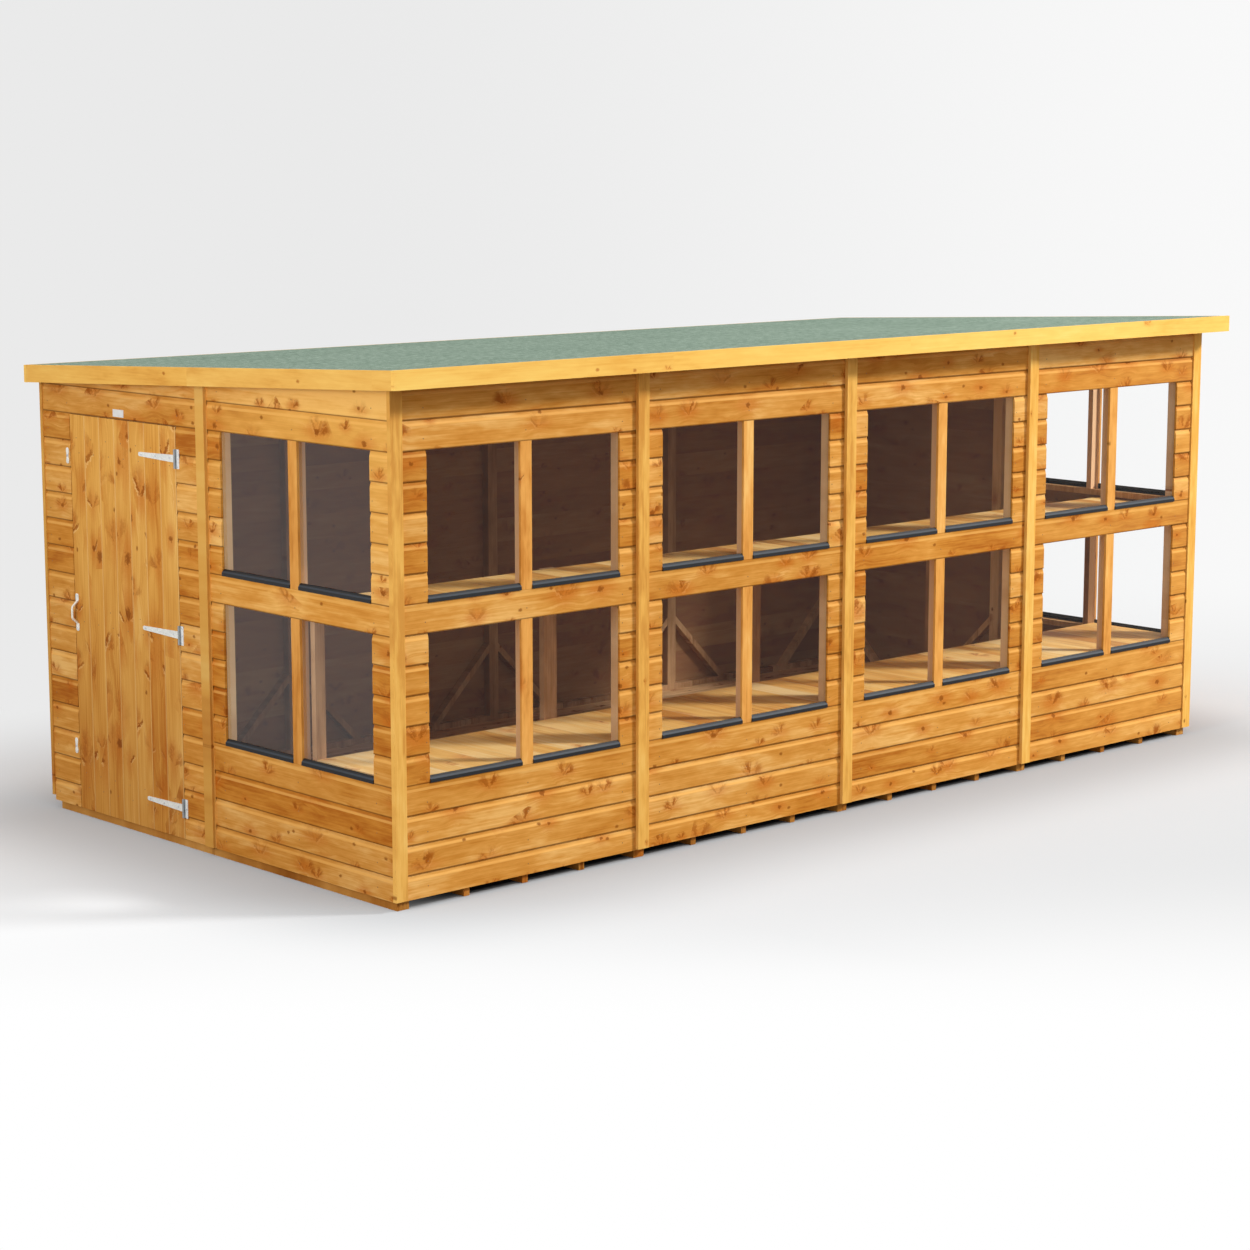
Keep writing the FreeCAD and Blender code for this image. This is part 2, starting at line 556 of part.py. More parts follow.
# Staging: bench and shelf boards laid front to back on bearers, posts at their back edge
stage_a, stage_b = WALL_T, LENGTH - WALL_T
stage_back = WALL_T + BENCH_D
count = round((stage_b - stage_a) / BENCH_BOARD_W)
step = (stage_b - stage_a) / count
for name, top in (("bench", BENCH_Z), ("shelf", SHELF_Z)):
    under = top - BENCH_T
    node(name + "_boards", [box(stage_a + step * k, stage_a + step * (k + 1), WALL_T, stage_back,
                                under, top) for k in range(count)])
    for a, b in long_panels:
        node("staging_bearers", [
            box(a, b, y0, y0 + FRAME_W, under - BEARER_H, under)
            for y0 in (WALL_T, stage_back - FRAME_W)])
posts = [(stage_a, POST_W), (stage_b - POST_W, POST_W)]
posts += [(p[1] - JOINT_POST_W / 2, JOINT_POST_W) for p in long_panels[:-1]]
node("staging_posts", [box(x, x + wide, stage_back, stage_back + POST_D, FLOOR_Z, SHELF_Z)
                       for x, wide in posts])

os.makedirs("parts", exist_ok=True)
for name, solids in NODES.items():
    shape = Part.makeCompound(solids)
    shape.translate(-MIDDLE)
    shape.exportStep("parts/" + name + ".step")
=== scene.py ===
import math

import bpy
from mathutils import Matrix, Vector


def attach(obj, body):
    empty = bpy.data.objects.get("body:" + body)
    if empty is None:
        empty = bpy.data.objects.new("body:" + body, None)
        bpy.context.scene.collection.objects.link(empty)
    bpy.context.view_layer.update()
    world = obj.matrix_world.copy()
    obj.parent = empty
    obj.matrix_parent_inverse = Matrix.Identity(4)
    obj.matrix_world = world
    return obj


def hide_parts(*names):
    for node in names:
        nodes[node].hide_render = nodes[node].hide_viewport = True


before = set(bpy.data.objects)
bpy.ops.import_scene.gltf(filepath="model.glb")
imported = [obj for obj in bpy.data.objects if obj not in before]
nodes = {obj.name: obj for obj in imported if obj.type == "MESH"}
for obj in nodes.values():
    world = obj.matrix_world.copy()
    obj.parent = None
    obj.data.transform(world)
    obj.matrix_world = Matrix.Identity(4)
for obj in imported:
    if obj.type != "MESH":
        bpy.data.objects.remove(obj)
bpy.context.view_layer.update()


def srgb(r, g, b):
    """Colour as a paint chart gives it, 0 to 255, made linear."""
    def linear(v):
        v /= 255
        return v / 12.92 if v <= 0.04045 else ((v + 0.055) / 1.055) ** 2.4
    return (linear(r), linear(g), linear(b), 1.0)


class Tone:
    """A value in a material's nodes that can be added, multiplied and compared."""

    def __init__(self, finish, socket):
        self.finish, self.socket = finish, socket

    def _sum(self, operation, *values):
        return self.finish.node("ShaderNodeMath", {"operation": operation}, dict(enumerate(values)))

    def __add__(self, other):
        return self._sum("ADD", self, other)

    __radd__ = __add__

    def __sub__(self, other):
        return self._sum("SUBTRACT", self, other)

    def __rsub__(self, other):
        return self._sum("SUBTRACT", other, self)

    def __mul__(self, other):
        return self._sum("MULTIPLY", self, other)

    __rmul__ = __mul__

    def __truediv__(self, other):
        return self._sum("DIVIDE", self, other)

    def __pow__(self, other):
        return self._sum("POWER", self, other)

    def __gt__(self, other):
        return self._sum("GREATER_THAN", self, other)

    def __lt__(self, other):
        return self._sum("LESS_THAN", self, other)

    def __abs__(self):
        return self._sum("ABSOLUTE", self)

    def __floor__(self):
        return self._sum("FLOOR", self)

    def root(self):
        return self._sum("SQRT", self)

    def above(self, least):
        return self._sum("MAXIMUM", self, least)

    def wave(self):
        return self._sum("SINE", self)

    def angle(self, other):
        """Angle from the way of other towards the way of this."""
        return self._sum("ARCTAN2", self, other)

    def ease(self, low, high, to_low=0.0, to_high=1.0):
        """Soft step from to_low at low to to_high at high."""
        return self.finish.node("ShaderNodeMapRange", {"interpolation_type": "SMOOTHSTEP"}, {
            "Value": self, "From Min": low, "From Max": high, "To Min": to_low, "To Max": to_high})

    def other(self, name):
        """Another output of the node that this value comes from."""
        return Tone(self.finish, self.socket.node.outputs[name])


class Finish:
    """A material made of nodes."""

    def __init__(self, name, room=None):
        self.material = room or bpy.data.materials.new(name)
        self.material.use_nodes = True
        self.tree = self.material.node_tree
        self.tree.nodes.clear()

    def node(self, kind, settings=None, sockets=None, out=0):
        made = self.tree.nodes.new(kind)
        for key, value in (settings or {}).items():
            if key == "stops":
                ramp = made.color_ramp.elements
                while len(ramp) < len(value):
                    ramp.new(1.0)
                for stop, (place, colour) in zip(ramp, value):
                    stop.position, stop.color = place, colour
            else:
                setattr(made, key, value)
        for key, value in (sockets or {}).items():
            socket = made.inputs[key]
            if isinstance(value, Tone):
                self.tree.links.new(value.socket, socket)
            else:
                socket.default_value = value
        return Tone(self, made.outputs[out]) if made.outputs else None

    def place(self, kind="Object"):
        """The three object coordinates."""
        at = self.node("ShaderNodeTexCoord", out=kind)
        split = self.node("ShaderNodeSeparateXYZ", {}, {"Vector": at})
        return split, split.other("Y"), split.other("Z")

    def vector(self, x, y, z=0.0):
        return self.node("ShaderNodeCombineXYZ", {}, {"X": x, "Y": y, "Z": z})

    def noise(self, at, detail=2.0, rough=0.5):
        return self.node("ShaderNodeTexNoise", {}, {"Vector": at, "Scale": 1.0, "Detail": detail, "Roughness": rough})

    def luck(self, x, y, z=0.0):
        """Three even random values for a numbered board."""
        white = self.node("ShaderNodeTexWhiteNoise", {}, {"Vector": self.vector(x, y, z)}, "Color")
        split = self.node("ShaderNodeSeparateColor", {}, {"Color": white})
        return split, split.other("Green"), split.other("Blue")

    def pick(self, share, first, second):
        return self.node("ShaderNodeMix", {"data_type": "FLOAT"}, {0: share, 2: first, 3: second})

    def blend(self, share, first, second, mode="MIX"):
        return self.node("ShaderNodeMix", {"data_type": "RGBA", "blend_type": mode},
                         {0: share, 6: first, 7: second}, 2)

    def shade(self, colour, amount):
        """Colour times a value."""
        grey = self.node("ShaderNodeCombineColor", {}, {0: amount, 1: amount, 2: amount})
        return self.blend(1.0, colour, grey, "MULTIPLY")

    def surface(self, sockets, kind="ShaderNodeBsdfPrincipled"):
        return self.node(kind, {}, sockets)

    def relief(self, height, strength, distance):
        return self.node("ShaderNodeBump", {}, {"Height": height, "Strength": strength, "Distance": distance}, "Normal")

    def in_sight(self):
        """One for what the eye, a shine or a pane sees, none for light that is passed on."""
        path = self.node("ShaderNodeLightPath", out="Is Camera Ray")
        return path + path.other("Is Glossy Ray") + path.other("Is Transmission Ray")

    def finish(self, shader, kind="ShaderNodeOutputMaterial"):
        self.node(kind, {}, {"Surface": shader})
        return self.material


# Sizes of the walls and the door in metres
COURSE = 0.114          # cover of one cladding course
CLAD_LOW = 0.036        # underside of the trimmed bottom course
FIRST = 0.131           # underside of the course above it
PANEL, PANEL_START = 1.2, -2.4
END_PANEL, END_START = 1.181, -1.132
FRONT_FACE, BACK_FACE, END_FACE = 1.145, 1.243, 2.452   # outer faces of the walls from the middle
LEAF_W, LEAF_EDGE, LEAF_BOARDS = 0.78, 0.245, 7         # the door, from its hinge edge
LEAF_BOARD = LEAF_W / LEAF_BOARDS
OUTER_D = 0.0075        # up to this depth behind the face is a cladding board's outer side
INNER_D = 0.0105        # from this depth on is its inner side
POST_D = 0.0115         # from this depth on a mullion is the post behind its facing strip
FASCIA_START, FASCIA_LENGTH = -2.522, 1.387             # the front fascia and its first length

# Colours laid over a wood's own tones, the last two multiplied with them. All but PALE_WOOD and STAIN are painted light
# and shade
SHADED_INSIDE = srgb(126, 97, 80)
PALE_WOOD = srgb(240, 200, 158)
GAP_SHADE = srgb(84, 42, 4)
HIGHLIGHT = srgb(245, 184, 98)
SUNNY = srgb(255, 200, 102)
STAIN = (1.0, 0.91, 0.7, 1.0)
SHADE_TINT = (0.66, 0.57, 0.5, 1.0)

PIN_RUN, PIN_SIDE = 5.0, 12.0   # places for a pin knot to a metre, along and across
PIN_OUTER, PIN_INNER = 0.0095, 0.003
RAGGED = 85.0                   # scale of the noise that frays a knot's outline
QUARTER_TURN = 1.5708


def knots(f, run, side, cell, width, share, big, upright):
    """Knots cut lengthwise: a dark heart, or two arms that spread like a V with a pale rim.

    With them come the stain round them, its tail along the grain and the push that bends the grain.
    A piece of wood cell long and width wide has one place for a knot, and share of the places have one.
    """
    spot = f.node("ShaderNodeTexVoronoi", {"voronoi_dimensions": "2D"},
                  {"Vector": f.vector(run / cell, side / width), "Scale": 1.0}, "Position")
    cut = f.node("ShaderNodeSeparateXYZ", {}, {"Vector": spot})
    dice = f.node("ShaderNodeSeparateColor", {}, {"Color": spot.other("Color")})
    ragged = f.node("ShaderNodeTexNoise", {}, {
        "Vector": f.vector(run * RAGGED, side * RAGGED), "Scale": 1.0, "Detail": 3.0, "Roughness": 0.6}, "Color")
    rag = f.node("ShaderNodeSeparateColor", {}, {"Color": ragged})
    shown = dice < share
    kind = dice.other("Blue")
    size = dice.other("Green") * big + big * 0.5
    dx = run - cut * cell + (rag - 0.5) * size * 1.1
    dz = side - cut.other("Y") * width + (rag.other("Green") - 0.5) * size * 1.1
    rise, sideways = (dx / size, dz / size) if upright else (dz / size, dx / size)
    rise = rise + 0.5
    far = (dx * dx * 0.6 + dz * dz).root() / size
    split = shown * (kind > 0.22)
    bearing = sideways.angle(rise) - (dice * 47.0).wave() * 0.4
    strokes = f.noise(f.vector(bearing * 3.4, far * 0.5, dice * 400.0), 2.0, 0.6).ease(0.4, 0.52)
    weight = f.pick(bearing > 0.0, (dice * 29.0).wave() * 0.4 + 0.6, (dice * 61.0).wave() * 0.4 + 0.6)
    fan = abs(abs(bearing) - 0.65).ease(0.6, 0.15) * weight * far.ease(2.7, 1.4) * far.ease(0.05, 0.5) * split

    def arm(toward, seed):
        lean = (dice * seed).wave() * 0.25 + 0.75
        along = sideways * toward * lean.wave() + rise * (lean + QUARTER_TURN).wave()
        off = sideways * toward * (lean + QUARTER_TURN).wave() - rise * lean.wave()
        bold = ((dice * (seed + 18.0)).wave() * 1.1 + 0.25).ease(0.0, 1.0)
        body = along.ease(0.1, 0.5) * along.ease(2.7, 2.0) * bold * split
        return abs(off).ease(0.25, 0.12) * body, abs(off - 0.36).ease(0.18, 0.05) * body

    left, left_edge = arm(-1.0, 47.0)
    right, right_edge = arm(1.0, 83.0)
    wings = (left.above(right) * (1.0 if upright else 0.45)).above(fan * strokes * (0.55 if upright else 1.0))
    rim = left_edge.above(right_edge) * (1.0 if upright else 0.3)
    heart = (far * 2.2).ease(1.25, 0.55) * shown * (kind < 0.3)
    halo = (far.ease(2.8, 0.3) * shown * ((kind > 0.84) * 0.6 + (kind < 0.3) * 0.35 + 0.25)).above(fan * 0.8)
    tail = ((dx / (size * 4.5)) ** 2.0 + (dz / (size * 1.1)) ** 2.0).root().ease(1.2, 0.1) * shown
    push = far.ease(3.2, 0.0) * shown * dz
    pin = f.node("ShaderNodeTexVoronoi", {"voronoi_dimensions": "2D"},
                 {"Vector": f.vector(run * PIN_RUN, side * PIN_SIDE), "Scale": 1.0}, "Position")
    rare = f.node("ShaderNodeSeparateColor", {}, {"Color": pin.other("Color")})
    spot = f.node("ShaderNodeSeparateXYZ", {}, {"Vector": pin})
    dx = run - spot / PIN_RUN + (rag - 0.5) * 0.01
    dz = side - spot.other("Y") / PIN_SIDE + (rag.other("Green") - 0.5) * 0.01
    dot = (dx * dx * 0.5 + dz * dz).root().ease(PIN_OUTER, PIN_INNER) * (rare < share * (0.16 if upright else 0.3))
    heart = heart.above(dot)
    return heart, wings, rim, halo, tail, push


def pine(name, along, across, pitch, first, tones, knot_colour, halo_colour, cell=0.22, share=0.76, big=0.02,
         bay=None, face=None, lines=0.0, vary=1.0, soft=1.0, fine=1.0, reach=1.0, damp=0.0, chance=40.5,
         bare=None, strip_shade=False, bleach=0.0, sunny=False):
    """Stained softwood: boards of one pitch across, grain along, knots, and on a wall's face painted highlight and
    shade along the laps.

    bay is where lengths of board start and how long they are, face the wall's face, behind which the inner
    side takes painted shade, and lines the share of a board's width that its edges take, each board with a
    painted highlight along one edge and painted shade in its joints. vary, soft, fine and reach set how far
    boards, clouds and streaks differ and run. chance moves the draw of the boards' tones. bare is the
    distance from the middle within which a mullion shows pale wood. The rest is painted light and shade
    held in the colour: damp darkens towards the ground, strip_shade darkens the strips on the ends and
    at the back corners, bleach pales the far end of the front, and sunny pales the top of the ends
    towards the front.
    """
    f = Finish(name)
    place = dict(zip("xyz", f.place()))
    run, side = place[along], place[across]
    third = place[({"x", "y", "z"} - {along, across}).pop()]
    row = math.floor((side - first) / pitch)
    part = (side - first) / pitch - row
    length = math.floor((run - bay[0]) / bay[1]) if bay else 0.0
    r, g, b = f.luck(row, length, math.floor(third * 1.7 + chance))
    u = run + r * 31.7
    v = side + g * 13.1
    heart, wings, rim, halo, tail, push = knots(f, u, v, cell, pitch, share, big, along == "z")
    bent = v + push * 0.6
    drift = f.noise(f.vector(u * 1.1, g * 50.0, b * 30.0), 1.0)
    cloud = f.noise(f.vector(u * 2.6, bent * 13.0, b * 9.0), 2.0)
    flame = f.noise(f.vector(u * 9.0 / reach, bent * 42.0, b * 7.0), 2.0, 0.6)
    streak = f.noise(f.vector(u * 2.6 / reach, bent * 150.0, b * 5.0), 3.0, 0.65)
    tone = ((cloud - 0.5) * 0.7 + (flame - 0.5) * 0.5) * soft + (streak - 0.5) * 0.5 * fine
    tone = tone + ((r - 0.5) * 0.36 + (drift - 0.5) * 0.7) * vary + 0.5
    if sunny:
        sun = place["z"].ease(0.9, 1.85) * place["y"].ease(0.3, -0.7)
        tone = tone + sun * 0.22
    colour = f.node("ShaderNodeValToRGB", {"stops": tones}, {"Fac": tone}, "Color")
    colour = f.blend(b * vary * 0.8, colour, STAIN, "MULTIPLY")
    if face:
        outer = abs(third) > face - OUTER_D
        # painted highlight along the cove at the top of each board, where the lap faces the light
        cove_highlight = part.ease(0.772, 0.80) * part.ease(0.91, 0.85)
        colour = f.blend(cove_highlight * outer * (drift * 0.7 + 0.25), colour, HIGHLIGHT)
    # painted light: the front paler towards its far end
    if bleach:
        colour = f.blend(run.ease(0.6, 2.4) * bleach, colour, HIGHLIGHT)
    if sunny:
        colour = f.blend(sun * 0.35, colour, SUNNY)
    colour = f.blend(tail * 0.34, colour, halo_colour)
    colour = f.blend(halo * 0.55, colour, halo_colour)
    colour = f.blend(rim * 0.55, colour, tones[-1][1])
    wing_colour = tuple(a * 0.25 + b * 0.75 for a, b in zip(halo_colour, knot_colour))
    colour = f.blend(wings * 0.85, colour, wing_colour)
    colour = f.blend(heart * 0.75, colour, knot_colour)
    if face:
        # painted shade under the lower edge of each board above, where the lap shadows the cove
        dark = part.ease(0.06, 0.012) * 0.72 + part.ease(0.98, 1.0) * 0.4
        colour = f.blend(dark * outer, colour, GAP_SHADE)
        # painted shade: the cladding's inner side darker and greyer than its wood
        colour = f.blend((abs(third) < face - INNER_D) * 0.72, colour, SHADED_INSIDE)
    if bare:
        colour = f.blend((abs(third) < bare) * 0.85, colour, PALE_WOOD)
    if lines:
        edge = abs(part - 0.5)
        # painted highlight along one edge of each board, and painted shade in the joints
        colour = f.blend(part.ease(lines * 3.5, lines * 1.2) * 0.5, colour, tones[-1][1])
        colour = f.blend(edge.ease(0.5 - lines * 0.6, 0.5) * 0.4, colour, GAP_SHADE)
    # painted shade on the strips of the ends and the back corners, deeper towards the ground
    if strip_shade:
        shaded_strip = (abs(place["x"]) > 2.4575).above((place["y"] > 1.2) * (abs(place["x"]) > 2.3))
        colour = f.blend(shaded_strip * place["z"].ease(2.0, 0.0, 0.4, 0.75), colour, SHADE_TINT, "MULTIPLY")
    # painted shade, darker towards the ground
    if damp:
        colour = f.blend(place["z"].ease(1.7, -0.1) * damp, colour, SHADE_TINT, "MULTIPLY")
    height = streak * 0.6 + flame * 0.3 + heart * 0.2
    return f.finish(f.surface({
        "Base Color": colour, "Roughness": streak * 0.16 + 0.5,
        "Specular IOR Level": 0.06, "Normal": f.relief(height, 0.16, 0.002)}))


def felt():
    """Mineral felt: green grit in patches."""
    f = Finish("mineral_felt")
    x, y, z = f.place()
    grit = f.noise(f.vector(x * 420.0, y * 420.0, z * 420.0), 1.0)
    patch = f.noise(f.vector(x * 70.0, y * 26.0, z * 70.0), 3.0, 0.7)
    drift = f.noise(f.vector(x * 1.4, y * 1.4, 0.0), 2.0)
    tone = (grit - 0.5) * 0.8 + (patch - 0.5) * 1.5 + (drift - 0.5) * 0.2 + 0.5
    colour = f.node("ShaderNodeValToRGB", {"stops": [
        (0.1, srgb(82, 103, 90)), (0.5, srgb(126, 146, 129)), (0.9, srgb(172, 187, 173))]}, {"Fac": tone}, "Color")
    return f.finish(f.surface({"Base Color": colour, "Roughness": 0.92, "Specular IOR Level": 0.1,
                               "Normal": f.relief(grit * 0.7 + patch * 0.5, 0.35, 0.0015)}))


def pane(name, ior, left_only=False):
    """Clear pane with a shine on its outer side. left_only leaves the panes of the right end without it."""
    f = Finish(name)
    clear = f.surface({"Color": (0.998, 0.999, 0.999, 1.0)}, "ShaderNodeBsdfTransparent")
    shine = f.surface({"Color": (1.0, 1.0, 1.0, 1.0), "Roughness": 0.03}, "ShaderNodeBsdfGlossy")
    inner = f.node("ShaderNodeNewGeometry", out="Backfacing")
    mirror = f.node("ShaderNodeFresnel", {}, {"IOR": ior}) * (1.0 - inner)
    if left_only:
        x, y, z = f.place()
        mirror = mirror * (x < 0.0)
    return f.finish(f.node("ShaderNodeMixShader", {}, {0: mirror, 1: clear, 2: shine}))


SILL, TIER = 0.473, 0.684   # lower sills, and the rise from them to the upper ones


def bead():
    """Dark bead with a painted highlight along its crown."""
    f = Finish("sill_bead")
    x, y, z = f.place()
    level = z - SILL
    level = level - math.floor(level / TIER) * TIER
    grime = f.noise(f.vector(x * 30.0, y * 30.0, z * 90.0), 3.0)
    # painted highlight along the crown
    shine = level.ease(0.0125, 0.0145) * level.ease(0.021, 0.0185)
    colour = f.blend(shine, srgb(18, 20, 23), srgb(49, 56, 64))
    colour = f.shade(colour, grime * 0.5 + 0.75)
    return f.finish(f.surface({"Base Color": colour, "Roughness": grime * 0.2 + 0.4, "Specular IOR Level": 0.3,
                               "Normal": f.relief(grime, 0.1, 0.001)}))


def zinc(name, dark, middle, light, metal, shade=None):
    """Zinc with spangles. shade gives two places along y between which painted shade darkens the colour towards the
    hinge barrel.
    """
    f = Finish(name)
    x, y, z = f.place()
    spangle = f.node("ShaderNodeTexVoronoi", {}, {"Vector": f.vector(x, y, z), "Scale": 160.0}, "Color")
    flake = f.node("ShaderNodeSeparateColor", {}, {"Color": spangle})
    film = f.noise(f.vector(x * 45.0, y * 45.0, z * 45.0), 3.0)
    colour = f.node("ShaderNodeValToRGB", {"stops": [(0.1, dark), (0.5, middle), (0.9, light)]},
                    {"Fac": flake * 0.35 + film * 0.65}, "Color")
    if shade:
        # painted shade beside the hinge barrel
        colour = f.blend(y.ease(*shade) * 0.7, colour, srgb(92, 104, 112))
    return f.finish(f.surface({"Base Color": colour, "Metallic": metal, "Roughness": flake * 0.15 + 0.38,
                               "Normal": f.relief(film, 0.08, 0.0006)}))


def label():
    """Plain plate, left bare."""
    f = Finish("bare_plate")
    x, y, z = f.place()
    film = f.noise(f.vector(x * 60.0, y * 60.0, z * 60.0), 3.0)
    colour = f.blend(film, srgb(214, 214, 212), srgb(240, 240, 238))
    return f.finish(f.surface({"Base Color": colour, "Roughness": film * 0.2 + 0.35}))


def stain(*stops):
    """Tones of a wood from dark to light, each a place from 0 to 1 and a colour."""
    return [(at, srgb(*colour)) for at, *colour in stops]


KNOT = srgb(134, 66, 4)
HALO = srgb(198, 106, 26)
GOLD = stain((0.15, 174, 97, 25), (0.4, 204, 136, 53), (0.6, 220, 156, 74), (0.88, 243, 193, 118))
DOOR = stain((0.15, 196, 121, 43), (0.4, 223, 160, 74), (0.6, 237, 180, 93), (0.88, 252, 209, 135))
MULLION = stain((0.18, 207, 134, 56), (0.45, 231, 163, 81), (0.65, 239, 174, 91), (0.9, 248, 197, 117))
# the mullion wood painted darker, for the shade on the ends
END_MULLION_SHADED = stain((0.18, 196, 126, 52), (0.45, 220, 154, 76), (0.65, 228, 165, 86), (0.9, 240, 187, 109))
TRIM = stain((0.15, 216, 152, 69), (0.45, 236, 179, 88), (0.65, 242, 189, 99), (0.9, 248, 206, 120))
FASCIA = stain((0.15, 240, 178, 80), (0.45, 251, 200, 101), (0.7, 254, 210, 111), (0.95, 255, 222, 132))
# the fascia wood painted darker, for the shade on the ends
END_FASCIA_SHADED = stain((0.15, 218, 154, 68), (0.45, 236, 181, 91), (0.7, 243, 193, 102), (0.95, 250, 210, 123))
# the joist wood painted darker, for the shade under the cladding
JOIST_SHADED = stain((0.15, 140, 80, 24), (0.4, 172, 112, 46), (0.6, 192, 134, 64), (0.88, 216, 164, 92))
# the framing wood painted lighter, for the light on the front and left window frames
LIT_FRAME = stain((0.2, 220, 176, 130), (0.5, 242, 206, 164), (0.8, 252, 226, 190))
# the framing wood painted darker, for the shade on the back frames and staging posts
SHADED_FRAME = stain((0.2, 142, 102, 68), (0.5, 172, 132, 94), (0.8, 198, 160, 120))
RAW = stain((0.2, 178, 130, 84), (0.5, 210, 166, 116), (0.8, 230, 192, 144))
BENCH = stain((0.2, 202, 142, 71), (0.42, 232, 184, 108), (0.62, 241, 200, 128), (0.85, 248, 218, 160))
RAW_HALO = srgb(170, 105, 60)
LIT_FRAME_HALO = srgb(190, 125, 80)


def shiplap(name, along, bay, face, **more):
    """Cladding of one wall."""
    return pine(name, along, "z", COURSE, FIRST, GOLD, KNOT, HALO, bay=bay, face=face, **more)


def framing(name, across, tones, halo_colour):
    """Framing behind the walls, with a fresh draw of tone every 0.3 across."""
    return pine(name, "z", across, 0.3, -2.55, tones, KNOT, halo_colour, share=0.3)


back_clad = shiplap("back_shiplap", "x", (PANEL_START, PANEL), BACK_FACE)
front_clad = shiplap("front_shiplap", "x", (PANEL_START, PANEL), FRONT_FACE, vary=0.8, chance=42.5, bleach=0.2)
end_clad = shiplap("end_shiplap", "y", (END_START, END_PANEL), END_FACE, damp=0.3, sunny=True)
door_pine = pine("door_matchboard", "z", "y", LEAF_BOARD, LEAF_EDGE, DOOR, KNOT, HALO, cell=0.24,
                 share=0.85, big=0.034, lines=0.02, vary=0.55, soft=0.7, fine=1.3, reach=3.0, damp=0.75)
strip_pine = pine("front_strip", "z", "x", 0.4, -2.6, TRIM, KNOT, HALO,
                  share=0.4, big=0.008, soft=1.7, fine=1.4, strip_shade=True)
fascia_x = pine("front_fascia_pine", "x", "z", 0.4, 1.7, FASCIA, srgb(190, 110, 40), srgb(238, 160, 70),
                cell=0.4, share=0.6, big=0.011, bay=(FASCIA_START, FASCIA_LENGTH))
fascia_y = pine("end_fascia_pine", "y", "z", 0.6, 1.6, END_FASCIA_SHADED, srgb(170, 92, 26), srgb(214, 134, 50),
                cell=0.3, share=0.8, big=0.017, bay=(END_START, END_PANEL), soft=1.2)
frame_pine = framing("frame_pine", "x", RAW, RAW_HALO)
# the window frames take the framing wood painted lighter, for the light on them
jamb_pine = framing("front_jamb_pine", "x", LIT_FRAME, LIT_FRAME_HALO)
jamb_pine_y = framing("end_jamb_pine", "y", LIT_FRAME, LIT_FRAME_HALO)
# the back frame takes the framing wood painted darker, for its shade
back_pine = framing("back_frame_pine", "x", SHADED_FRAME, srgb(150, 92, 52))
frame_pine_y = framing("end_frame_pine", "y", RAW, RAW_HALO)
mull_x = pine("front_mullion_pine", "z", "x", 0.3, -2.6, MULLION, KNOT, HALO,
              share=0.5, big=0.008, vary=0.5, soft=1.6, bare=FRONT_FACE - POST_D)
mull_y = pine("end_mullion_pine", "z", "y", 0.3, -2.6, END_MULLION_SHADED, KNOT, HALO,
              share=0.5, big=0.008, vary=0.5, soft=1.6, damp=0.25, bare=END_FACE - POST_D)
bench_pine = pine("bench_pine", "y", "x", 0.12, -2.4, BENCH, srgb(176, 104, 48), srgb(220, 150, 82),
                  share=0.25, lines=0.02, vary=1.5, fine=1.4, reach=2.0)
floor_pine = pine("floor_pine", "x", "y", 0.116, -1.13, RAW, KNOT, RAW_HALO, lines=0.02)
joist_pine = pine("joist_pine", "y", "x", 0.25, -2.5, JOIST_SHADED, KNOT, HALO)
deck = pine("roof_board", "x", "y", 0.4, -2.0, RAW, KNOT, RAW_HALO, share=0.0)

GALVANISED = (srgb(210, 213, 214), srgb(234, 236, 236), srgb(250, 250, 248))
hinge_steel = zinc("galvanised_steel", *GALVANISED, 0.1)
plate_steel = zinc("hinge_plate_steel", *GALVANISED, 0.1, (0.2285, 0.237))
strap_steel = zinc("hinge_strap_steel", srgb(206, 207, 204), srgb(231, 231, 226), srgb(248, 247, 242), 0.1,
                   (0.2515, 0.2475))
bright_steel = zinc("bright_steel", srgb(216, 214, 206), srgb(240, 237, 228), srgb(252, 250, 244), 0.2)
screw_steel = zinc("screw_steel", srgb(176, 180, 186), srgb(210, 213, 218), srgb(236, 238, 240), 0.3)
nail_steel = zinc("nail_steel", srgb(128, 84, 40), srgb(152, 104, 54), srgb(178, 128, 72), 0.2)

sill_bead = bead()
finishes = {
    "front_cladding": front_clad, "back_cladding": back_clad, "left_window_cladding": end_clad,
    "door_panel_cladding": end_clad, "right_window_cladding": end_clad, "right_plain_cladding": end_clad,
    "door_boards": door_pine, "door_ledges": frame_pine_y, "joint_strips": strip_pine, "corner_strips": strip_pine,
    "front_fascia": fascia_x, "back_fascia": fascia_x, "end_fascias": fascia_y,
    "front_frame": jamb_pine, "back_frame": back_pine, "left_window_frame": jamb_pine_y,
    "right_window_frame": frame_pine_y, "right_plain_frame": frame_pine_y, "door_panel_frame": frame_pine_y,
    "front_mullions": mull_x, "end_mullions": mull_y, "bench_boards": bench_pine, "shelf_boards": bench_pine,
    "staging_bearers": frame_pine, "staging_posts": back_pine, "floor_boards": floor_pine,
    "floor_joists": joist_pine, "rafters": frame_pine, "roof_boards": deck, "roof_felt": felt(),
    "front_panes": pane("front_pane", 1.25), "end_panes": pane("end_pane", 1.5, left_only=True),
    "front_sill_beads": sill_bead, "end_sill_beads": sill_bead, "door_plate": label(),
    "hinge_plates": plate_steel, "hinge_straps": strap_steel, "hinge_pins": hinge_steel,
    "door_handle": hinge_steel, "turn_button_upper": hinge_steel, "turn_button_lower": hinge_steel,
    "button_screws": hinge_steel}

# A numbered node, such as one panel's cladding, takes the finish of its kind
for name, obj in nodes.items():
    kind = name if name in finishes else name.rsplit("_", 1)[0]
    obj.data.materials.clear()
    obj.data.materials.append(finishes[kind])


